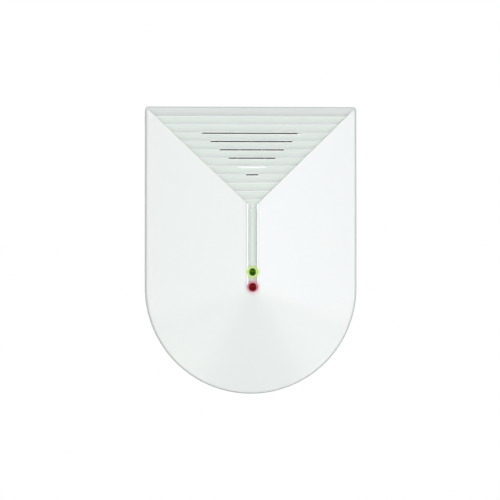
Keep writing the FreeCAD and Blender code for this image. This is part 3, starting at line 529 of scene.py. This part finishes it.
def chip_material(name, body, smooth, rough):
    """The middle of a small chip: glazed, with fine specks."""
    f = Finish(name)
    speck = f.noise(0.4, 4)
    f.set("Base Color", f.mottled(speck, body, 0.3))
    f.set("Roughness", f.ranged(speck, 0, 1, smooth, rough))
    return f.bump(speck, 0.2, 0.03).material


def black_package():
    """Moulding compound: near black, with fine glittering grains."""
    f = Finish("moulding_compound", Specular_IOR_Level=0.4)
    grains = f.noise(0.12, 4)
    dark, pale = (0.012, 0.012, 0.013), (0.045, 0.045, 0.048)
    f.set("Base Color", f.ramp(grains, (0.35, dark), (0.75, pale)))
    f.set("Roughness", f.ranged(f.noise(1.5), 0, 1, 0.48, 0.6))
    return f.bump(grains, 0.25, 0.03).material


def lens(name, z, half_size_mm, core, band, left, right, ring):
    """Tinted resin: deep over the chip's cup, with a painted highlight band, painted reflections at
    its sides and a glowing rim.
    """
    band_rise = 0.3 * MM  # from the light's middle up to the band
    band_half = (0.12 * MM, 0.38 * MM)
    deep_share = (1.1, 1.34)  # of the deep oval's size
    ring_radius = (1.16 * MM, 1.36 * MM)
    core_glow, ring_glow = 0.04, 0.36
    half_width, half_height = (size * MM for size in half_size_mm)
    f = Finish(name, Specular_IOR_Level=0.07, Roughness=0.12)
    swirl = f.times(f.noise(0.7, 3), 0.3)
    oval = f.math("ADD", f.from_axis(0, z, half_width, half_height), swirl)
    # Painted reflections of the side lamps: pale crescents at the left and right, the right one
    # brighter.
    across = f.rise(f.axis("X"), -light_radius, light_radius)
    painted_reflections = f.ramp(across, (0.35, left), (0.65, right))
    deep = f.ramp(f.noise(0.5, 3), (0.3, core), (0.75, tuple(1.6 * c for c in core)))
    # A painted highlight: a pale band across the deep core.
    off_band = f.math("ABSOLUTE", f.math("SUBTRACT", f.axis("Z"), z + band_rise))
    deep = f.mix(f.fall(off_band, *band_half), deep, band)
    colour = f.mix(f.rise(oval, *deep_share), deep, painted_reflections)
    edge = f.rise(f.from_axis(0, z), *ring_radius)
    colour = f.mix(edge, colour, ring)
    f.set("Base Color", colour)
    f.set("Emission Color", colour)
    f.set("Emission Strength", f.ranged(edge, 0, 1, core_glow, ring_glow))
    return f.bump(f.noise(0.8, 2), 0.08, 0.05).material


def sleeve(name, x, z, radius, top_y):
    """A capacitor's shrink sleeve, dark with a pale stripe, and bare aluminium on its top."""
    dark, pale = (0.02, 0.022, 0.035), (0.035, 0.04, 0.06)
    stripe_grey, aluminium = (0.42, 0.46, 0.5), (0.75, 0.75, 0.76)
    stripe_edge = (x - 0.62 * radius, x - 0.58 * radius)
    top_radius = (0.82 * radius, 0.84 * radius)
    top_back = (top_y + 0.5 * MM, top_y + 0.6 * MM)
    f = Finish(name)
    cloud = f.noise(2)
    body = f.ramp(cloud, (0.3, dark), (0.7, pale))
    body = f.mix(f.fall(f.axis("X"), *stripe_edge), body, stripe_grey)
    top = f.times(f.fall(f.from_axis(x, z), *top_radius), f.fall(f.axis("Y"), *top_back))
    f.set("Base Color", f.mix(top, body, aluminium))
    f.set("Metallic", top)
    f.set("Roughness", f.ranged(cloud, 0, 1, 0.22, 0.34))
    return f.bump(f.noise(0.6, 3), 0.1, 0.04).material


def dress(node, material):
    """A CAD node keeps its shape and takes a new material."""
    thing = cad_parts[node]
    if not thing.data.materials:
        thing.data.materials.append(material)
    for slot in thing.material_slots:
        slot.material = material


# Pieces


def add_piece(name, mesh, body, material, replaced=None):
    """A piece that rides on a body, and may stand for a node of the part."""
    piece = bpy.data.objects.new(name, mesh)
    bpy.context.scene.collection.objects.link(piece)
    mesh.materials.append(material)
    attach(piece, body)
    if replaced:
        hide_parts(replaced)


def flat_mesh(name, shape):
    """A flat-shaded mesh from a bmesh, which is used up."""
    bmesh.ops.recalc_face_normals(shape, faces=shape.faces)
    mesh = bpy.data.meshes.new(name)
    shape.to_mesh(mesh)
    shape.free()
    return mesh


def smooth_mesh(name, shape):
    """The same, smooth-shaded."""
    mesh = flat_mesh(name, shape)
    mesh.shade_smooth()
    return mesh


def join_rings(shape, rings):
    """Faces between neighbouring rings of points. A ring may be a single point."""
    for first, second in zip(rings, rings[1:]):
        count = max(len(first), len(second))
        for step in range(count):
            after = (step + 1) % count
            places = ((first, step), (first, after), (second, after), (second, step))
            shape.faces.new(dict.fromkeys(ring[place % len(ring)] for ring, place in places))


def turned(name, profile, x, z, steps=96):
    """A body turned on an axis that runs front to back.

    The profile is radius and y, and starts and ends on the axis.
    """
    shape = bmesh.new()
    rings = []
    for radius, y in profile:
        if radius == 0:
            rings.append([shape.verts.new((x, y, z))])
            continue
        turns = [2 * math.pi * step / steps for step in range(steps)]
        points = [(x + radius * math.cos(a), y, z + radius * math.sin(a)) for a in turns]
        rings.append([shape.verts.new(point) for point in points])
    join_rings(shape, rings)
    return smooth_mesh(name, shape)


def arc(centre_radius, centre_y, size, start, end, steps):
    """Points of a profile along a round, from one angle to another.

    At 0 the round faces outwards, at 90 forwards.
    """
    points = []
    for step in range(steps + 1):
        angle = math.radians(start + (end - start) * step / steps)
        points.append((centre_radius + size * math.cos(angle), centre_y - size * math.sin(angle)))
    return points


def light_lens(colour, low, high, material):
    """The resin body of a light: a flange, a stem and a shallow crown with a soft edge."""
    z = (low.z + high.z) / 2
    crown_share = 0.94  # of the stem's radius, where the crown meets its soft edge
    crown_angle = math.degrees(math.acos(light_radius * crown_share / light_crown_radius))
    edge_y = low.y + light_crown_radius * (1 - math.sin(math.radians(crown_angle)))
    flange_radius = (high.x - low.x) / 2
    flange_front = high.y - light_flange_height
    edge = 0.09 * MM
    profile = [
        (0, high.y),
        (flange_radius - edge, high.y),
        (flange_radius, high.y - edge),
        (flange_radius, flange_front + edge),
        (flange_radius - edge, flange_front),
        (light_radius + edge, flange_front),
        (light_radius, flange_front - edge),
    ]
    profile += arc(light_radius - edge, edge_y + edge, edge, 0, crown_angle, 5)
    crown = arc(0, low.y + light_crown_radius, light_crown_radius, crown_angle, 90, 24)
    profile += crown[1:-1] + [(0, low.y)]
    name = f"{colour}_light_lens"
    mesh = turned(name, profile, 0, z)
    add_piece(name, mesh, "base", material, f"{colour}_light")


def bead(shape, x_half, z_low, z_high, y, proud):
    """A low rounded bar across the cover, with tapered ends, on a base at depth y."""
    z_middle, z_half = (z_low + z_high) / 2, (z_high - z_low) / 2
    taper = 1.2 * z_half
    sunk = 0.05 * MM
    bulge_steps = 10
    tip, tip_scale = 0.3 * taper, 0.7
    left_end = [(-x_half, 0), (-x_half + tip, tip_scale), (-x_half + taper, 1)]
    right_end = [(x_half - taper, 1), (x_half - tip, tip_scale), (x_half, 0)]
    rings = []
    for x, scale in left_end + right_end:
        if scale == 0:
            rings.append([shape.verts.new((x, y + sunk, z_middle))])
            continue
        ring = []
        for step in range(bulge_steps + 1):
            a = math.pi * step / bulge_steps
            out, down = (proud * scale + sunk) * math.sin(a), z_half * scale * math.cos(a)
            ring.append(shape.verts.new((x, y + sunk - out, z_middle - down)))
        rings.append(ring)
    join_rings(shape, rings)


def louvre_z(line):
    """The height of a louvre line, counted from the top."""
    return case_high.z - first_louvre - line * louvre_pitch


def louvre_y(line):
    """Where the flat below a louvre line lies."""
    return step_one_y - line * louvre_step


def slot_half(line):
    """Half the length of the slot below a louvre line."""
    return (louvre_z(line) - hip_point_z) * hip_spread - slot_margin


def add_strips(name, shape, material):
    """A piece of fine strips on the cover's face."""
    add_piece(name, smooth_mesh(name, shape), "cover", material)


def slot_rims(material):
    """Fine lips above and below each open slot, which carry a painted highlight."""
    shape = bmesh.new()
    for line in slot_lines:
        top = louvre_z(line) - slot_drop
        half = slot_half(line) + rim_height
        y = louvre_y(line)
        bead(shape, half, top, top + rim_height, y, rim_proud)
        bead(shape, half, top - slot_height - rim_height, top - slot_height, y, rim_proud)
    add_strips("slot_rims", shape, material)


def louvre_edges(material):
    """A low bead along the upper edge of each louvre that has no slot or window, with a faint
    painted highlight.
    """
    shape = bmesh.new()
    for line in range(louvre_count):
        if line in slot_lines or line == window_line:
            continue
        top = louvre_z(line) - edge_drop
        half = (top - hip_point_z) * hip_spread - edge_margin
        bead(shape, half, top - edge_height, top, louvre_y(line), edge_proud)
    add_strips("louvre_edges", shape, material)


def window_bar(material):
    """The white strip that closes one slot, with a painted highlight."""
    shape = bmesh.new()
    top = louvre_z(window_line) - slot_drop
    half = slot_half(window_line) + window_side_lap
    z_low, z_high = top - window_height - window_lap, top + window_lap
    bead(shape, half, z_low, z_high, louvre_y(window_line), window_proud)
    add_strips("window_bar", shape, material)


def capacitor(node, number):
    """A sleeved can: a crimp near the board, a soft shoulder, and a bare top inside the fold."""
    low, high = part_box(node)
    x, z = (low.x + high.x) / 2, (low.z + high.z) / 2
    radius = (high.x - low.x) / 2
    foot, shoulder = 0.25 * MM, 0.45 * MM
    crimp_y, crimp = high.y - 1.6 * MM, 0.3 * MM
    crimp_half, crimp_floor_half = 0.45 * MM, 0.2 * MM
    crimp_side = 0.75 * crimp
    fold_radius, fold, fold_depth = 0.84 * radius, 0.05 * MM, 0.12 * MM
    top_y = low.y + 0.15 * MM
    profile = [(0, high.y), (radius - foot, high.y)]
    profile += arc(radius - foot, high.y - foot, foot, -60, 0, 3)
    profile += [
        (radius, crimp_y + crimp_half),
        (radius - crimp_side, crimp_y + crimp_floor_half),
        (radius - crimp, crimp_y),
        (radius - crimp_side, crimp_y - crimp_floor_half),
        (radius, crimp_y - crimp_half),
    ]
    profile += arc(radius - shoulder, low.y + shoulder, shoulder, 0, 90, 6)
    profile += [
        (fold_radius, low.y),
        (fold_radius - fold, low.y + fold_depth),
        (fold_radius - 2 * fold, top_y),
        (0, top_y),
    ]
    material = sleeve(f"capacitor_sleeve_{number}", x, z, radius, low.y)
    name = f"{node}_can"
    mesh = turned(name, profile, x, z, steps=72)
    add_piece(name, mesh, "base", material, node)


def separate_boxes(node):
    """The box of each separate solid in a node of the part."""
    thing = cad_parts[node]
    shape = bmesh.new()
    shape.from_mesh(thing.data)
    shape.transform(thing.matrix_world)
    bmesh.ops.remove_doubles(shape, verts=shape.verts, dist=MM / 1000)
    waiting = set(shape.verts)
    boxes = []
    while waiting:
        grown, edge = set(), [waiting.pop()]
        while edge:
            vertex = edge.pop()
            grown.add(vertex)
            for line in vertex.link_edges:
                other = line.other_vert(vertex)
                if other in waiting:
                    waiting.discard(other)
                    edge.append(other)
        sides = list(zip(*(vertex.co for vertex in grown)))
        boxes.append((Vector([min(side) for side in sides]), Vector([max(side) for side in sides])))
    shape.free()
    return sorted(boxes, key=lambda box: tuple(box[0]))


# A chip's two materials
middle_index, end_index = 0, 1


def add_block(shape, low, high, rounding, material_index):
    """A block with rounded edges."""
    single = bmesh.new()
    size = high - low
    bmesh.ops.create_cube(single, size=1)
    bmesh.ops.scale(single, vec=size, verts=single.verts)
    bmesh.ops.translate(single, vec=(low + high) / 2, verts=single.verts)
    bmesh.ops.bevel(single, geom=single.edges[:], offset=rounding, segments=3, profile=0.5,
                    affect="EDGES")
    for face in single.faces:
        face.material_index = material_index
    mesh = bpy.data.meshes.new("block")
    single.to_mesh(mesh)
    single.free()
    shape.from_mesh(mesh)
    bpy.data.meshes.remove(mesh)


def add_fillet(shape, low, high, end_z, direction):
    """The hollow slope of solder from a chip's end down to the board."""
    foot, rise, steps = 0.3 * MM, 0.55 * (high.y - low.y), 5
    inset, lap = 0.04 * MM, 0.05 * MM
    sides = []
    for x in (low.x + inset, high.x - inset):
        ring = [shape.verts.new((x, high.y, end_z - direction * lap))]
        for step in range(steps + 1):
            angle = math.pi / 2 * step / steps
            out = foot * (1 - math.sin(angle))
            up = rise * (1 - math.cos(angle))
            ring.append(shape.verts.new((x, high.y - up, end_z + direction * out)))
        ring.append(shape.verts.new((x, high.y - rise, end_z - direction * lap)))
        sides.append(ring)
    left, right = sides
    faces = [shape.faces.new(left), shape.faces.new(right)]
    for step in range(len(left)):
        after = (step + 1) % len(left)
        faces.append(shape.faces.new((left[step], left[after], right[after], right[step])))
    for face in faces:
        face.material_index = end_index


def chips(node, body_material, end_material):
    """Small chips: a glazed middle, tinned ends and solder down to the board."""
    shape = bmesh.new()
    inset = 0.04 * MM
    middle_rounding, end_rounding = 0.03 * MM, 0.07 * MM
    end_share = 0.24  # of a chip's length
    for low, high in separate_boxes(node):
        end = end_share * (high.z - low.z)
        middle_low = Vector((low.x + inset, low.y + inset, low.z + end - inset))
        middle_high = Vector((high.x - inset, high.y, high.z - end + inset))
        lower_end_high = Vector((high.x, high.y, low.z + end))
        upper_end_low = Vector((low.x, low.y, high.z - end))
        add_block(shape, middle_low, middle_high, middle_rounding, middle_index)
        add_block(shape, low, lower_end_high, end_rounding, end_index)
        add_block(shape, upper_end_low, high, end_rounding, end_index)
        add_fillet(shape, low, high, low.z, -1)
        add_fillet(shape, low, high, high.z, 1)
    name = f"{node}_detail"
    mesh = flat_mesh(name, shape)
    add_piece(name, mesh, "base", body_material, node)
    mesh.materials.append(end_material)


# Light and background


def softbox(name, azimuth, elevation, width, height, radiance, colour):
    """A soft light at an angle from the object's middle, as bright as radiance times white."""
    data = bpy.data.lights.new(name, "AREA")
    data.shape = "RECTANGLE"
    data.size = width
    data.size_y = height
    data.energy = radiance * math.pi * width * height
    data.color = colour
    lamp = bpy.data.objects.new(name, data)
    lamp.location = outwards(azimuth, elevation) * lamp_distance
    lamp.rotation_mode = "QUATERNION"
    lamp.rotation_quaternion = (Vector((0, eave_y, 0)) - lamp.location).to_track_quat("-Z", "Y")
    bpy.context.scene.collection.objects.link(lamp)


def seen_directly(nodes, links):
    """1 for the camera's rays and for rays that shiny or clear things send on, 0 for light."""
    path = nodes.new("ShaderNodeLightPath")
    total = path.outputs["Is Camera Ray"]
    for kind in ("Is Glossy Ray", "Is Transmission Ray"):
        add = nodes.new("ShaderNodeMath")
        add.operation = "MAXIMUM"
        links.new(total, add.inputs[0])
        links.new(path.outputs[kind], add.inputs[1])
        total = add.outputs[0]
    return total


def white_world():
    """White where it is seen, also in reflections; dimmer and slightly green as a light."""
    world = bpy.data.worlds.new("world")
    bpy.context.scene.world = world
    world.use_nodes = True
    nodes, links = world.node_tree.nodes, world.node_tree.links
    nodes.clear()
    seen = nodes.new("ShaderNodeBackground")
    seen.inputs["Color"].default_value = (1, 1, 1, 1)
    seen.inputs["Strength"].default_value = 1
    lit = nodes.new("ShaderNodeBackground")
    lit.inputs["Color"].default_value = (*world_light_colour, 1)
    lit.inputs["Strength"].default_value = world_light
    mix = nodes.new("ShaderNodeMixShader")
    out = nodes.new("ShaderNodeOutputWorld")
    links.new(seen_directly(nodes, links), mix.inputs["Fac"])
    links.new(lit.outputs["Background"], mix.inputs[1])
    links.new(seen.outputs["Background"], mix.inputs[2])
    links.new(mix.outputs["Shader"], out.inputs["Surface"])


def floor_material():
    """Pale and matt: it looks white where nothing shades it, and keeps the object's shadow."""
    material = bpy.data.materials.new("floor_white")
    material.use_nodes = True
    nodes, links = material.node_tree.nodes, material.node_tree.links
    shader = nodes["Principled BSDF"]
    shader.inputs["Roughness"].default_value = 0.9
    shader.inputs["Specular IOR Level"].default_value = 0.0
    shader.inputs["Base Color"].default_value = (0.8, 0.8, 0.8, 1)
    shader.inputs["Emission Color"].default_value = (1, 1, 1, 1)
    boost = nodes.new("ShaderNodeMath")
    boost.operation = "MULTIPLY"
    boost.inputs[1].default_value = floor_boost
    links.new(seen_directly(nodes, links), boost.inputs[0])
    links.new(boost.outputs[0], shader.inputs["Emission Strength"])
    return material


def add_floor():
    """A plain square below the object."""
    mesh = bpy.data.meshes.new("floor")
    z = cad_low.z - floor_drop
    corners = [(x * floor_size, y * floor_size, z) for x, y in ((-1, -1), (1, -1), (1, 1), (-1, 1))]
    mesh.from_pydata(corners, [], [(0, 1, 2, 3)])
    floor = bpy.data.objects.new("floor", mesh)
    bpy.context.scene.collection.objects.link(floor)
    mesh.materials.append(floor_material())


bpy.context.scene.view_settings.view_transform = "Standard"
place_camera()
white_world()
add_floor()
cool = (0.975, 0.98, 1.0)
bluish = (0.97, 0.94, 1.0)
green_white = (0.985, 1.0, 0.97)
softboxes = [  # name, azimuth, elevation, width, height, radiance and colour
    ("left_box", -36.2, 3, 0.28, 0.6, 3.2, cool),
    ("right_box", 41.7, 3, 0.28, 0.6, 3.7, bluish),
    ("low_left_box", -36, -30, 0.38, 0.4, 2.0, green_white),
    ("low_right_box", 42, -30, 0.38, 0.4, 2.0, green_white),
    ("low_box", 0, -42, 0.6, 0.35, 0.8, white),
    ("left_side_box", -80, 3, 0.38, 0.6, 0.7, white),
    ("right_side_box", 84, 3, 0.38, 0.6, 0.9, white),
    ("top_box", 0, 72, 0.6, 0.5, 0.9, white),
    ("left_back_box", -155, 28, 0.5, 0.4, 2.6, white),
    ("right_back_box", 155, 28, 0.5, 0.4, 2.6, white),
]
for values in softboxes:
    softbox(*values)

along_y, along_x = (1, 0.2, 1), (0.2, 1, 1)
# Paler plastic with painted highlights: glowing for the slot rims and the window bar, faintly for
# the louvre edges.
painted_highlight_finish = glowing_highlight_plastic("glowing_highlight_plastic", 0.14)
tinned = metal("tinned_legs", (0.74, 0.74, 0.72), 0.32, 0.5, along_y)
gold = metal("gold_pins", (0.83, 0.62, 0.27), 0.28, 0.5, along_y)
package = black_package()
spacer = plain_plastic("natural_nylon", (0.78, 0.76, 0.68), 0.45)
header_plastic = plain_plastic("header_plastic", (0.03, 0.03, 0.032), 0.4, variation=0.3)
jumper_plastic = plain_plastic("jumper_plastic", (0.55, 0.03, 0.025), 0.3)
finishes = {
    "front_cover": cover_plastic(),
    "back_plate": base_plastic(),
    "circuit_board": board_mask(),
    "board_screws": metal("zinc_plate", (0.66, 0.67, 0.66), 0.3, 0.35),
    "microphone_boot": rubber(),
    "microphone_capsule": metal("drawn_aluminium", (0.76, 0.76, 0.77), 0.3, 0.4, (1, 0.1, 1)),
    "microphone_felt": felt(),
    "terminal_housing": plain_plastic("terminal_plastic", (0.02, 0.09, 0.32), 0.32),
    "terminal_clamps": metal("nickelled_brass", (0.7, 0.64, 0.5), 0.33, 0.4),
    "terminal_screws": metal("screw_steel", (0.62, 0.62, 0.6), 0.34, 0.3),
    "relay_case": plain_plastic("relay_plastic", (0.76, 0.72, 0.6), 0.36, variation=0.04),
    "tamper_switch": plain_plastic("switch_plastic", (0.03, 0.03, 0.032), 0.38, variation=0.3),
    "tamper_plunger": plain_plastic("plunger_plastic", (0.6, 0.04, 0.03), 0.28),
    "processor_chip": package,
    "amplifier_chip": package,
    "regulator_body": package,
    "surge_suppressor": package,
    "crystal_can": metal("crystal_metal", (0.74, 0.74, 0.74), 0.26, 0.5, along_x),
    "sensitivity_header": header_plastic,
    "light_header": header_plastic,
    "sensitivity_jumper": jumper_plastic,
    "light_jumper": jumper_plastic,
    "sensitivity_header_pins": gold,
    "light_header_pins": gold,
    "red_light_spacer": spacer,
    "green_light_spacer": spacer,
}
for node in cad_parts:
    if node.endswith(("_leads", "_pins", "_legs")) and node not in finishes:
        finishes[node] = tinned
for node, finish in finishes.items():
    dress(node, finish)

# Each light's resin: a deep core, a painted highlight band, painted reflections at the left and
# right, and a glowing rim.
green_resin = lens(
    "green_resin", green_z, half_size_mm=(0.9, 1.14),
    core=(0.013, 0.06, 0.0003), band=(0.075, 0.16, 0.004),
    left=(0.5, 0.76, 0.18), right=(0.72, 0.95, 0.34), ring=(0.72, 0.88, 0.38),
)
red_resin = lens(
    "red_resin", red_z, half_size_mm=(1.06, 1.48),
    core=(0.12, 0.0003, 0.003), band=(0.2, 0.008, 0.016),
    left=(0.55, 0.1, 0.16), right=(0.78, 0.25, 0.32), ring=(0.76, 0.35, 0.44),
)
light_lens("green", green_low, green_high, green_resin)
light_lens("red", red_low, red_high, red_resin)
slot_rims(painted_highlight_finish)
window_bar(painted_highlight_finish)
louvre_edges(glowing_highlight_plastic("faint_highlight_plastic", 0.02))
glazed = chip_material("glazed_resistors", (0.03, 0.03, 0.034), 0.2, 0.35)
ceramic = chip_material("ceramic_capacitors", (0.42, 0.3, 0.17), 0.35, 0.5)
chips("chip_resistors", glazed, tinned)
chips("chip_capacitors", ceramic, tinned)
for number, node in enumerate(("supply_capacitor", "filter_capacitor", "coupling_capacitor")):
    capacitor(node, number)
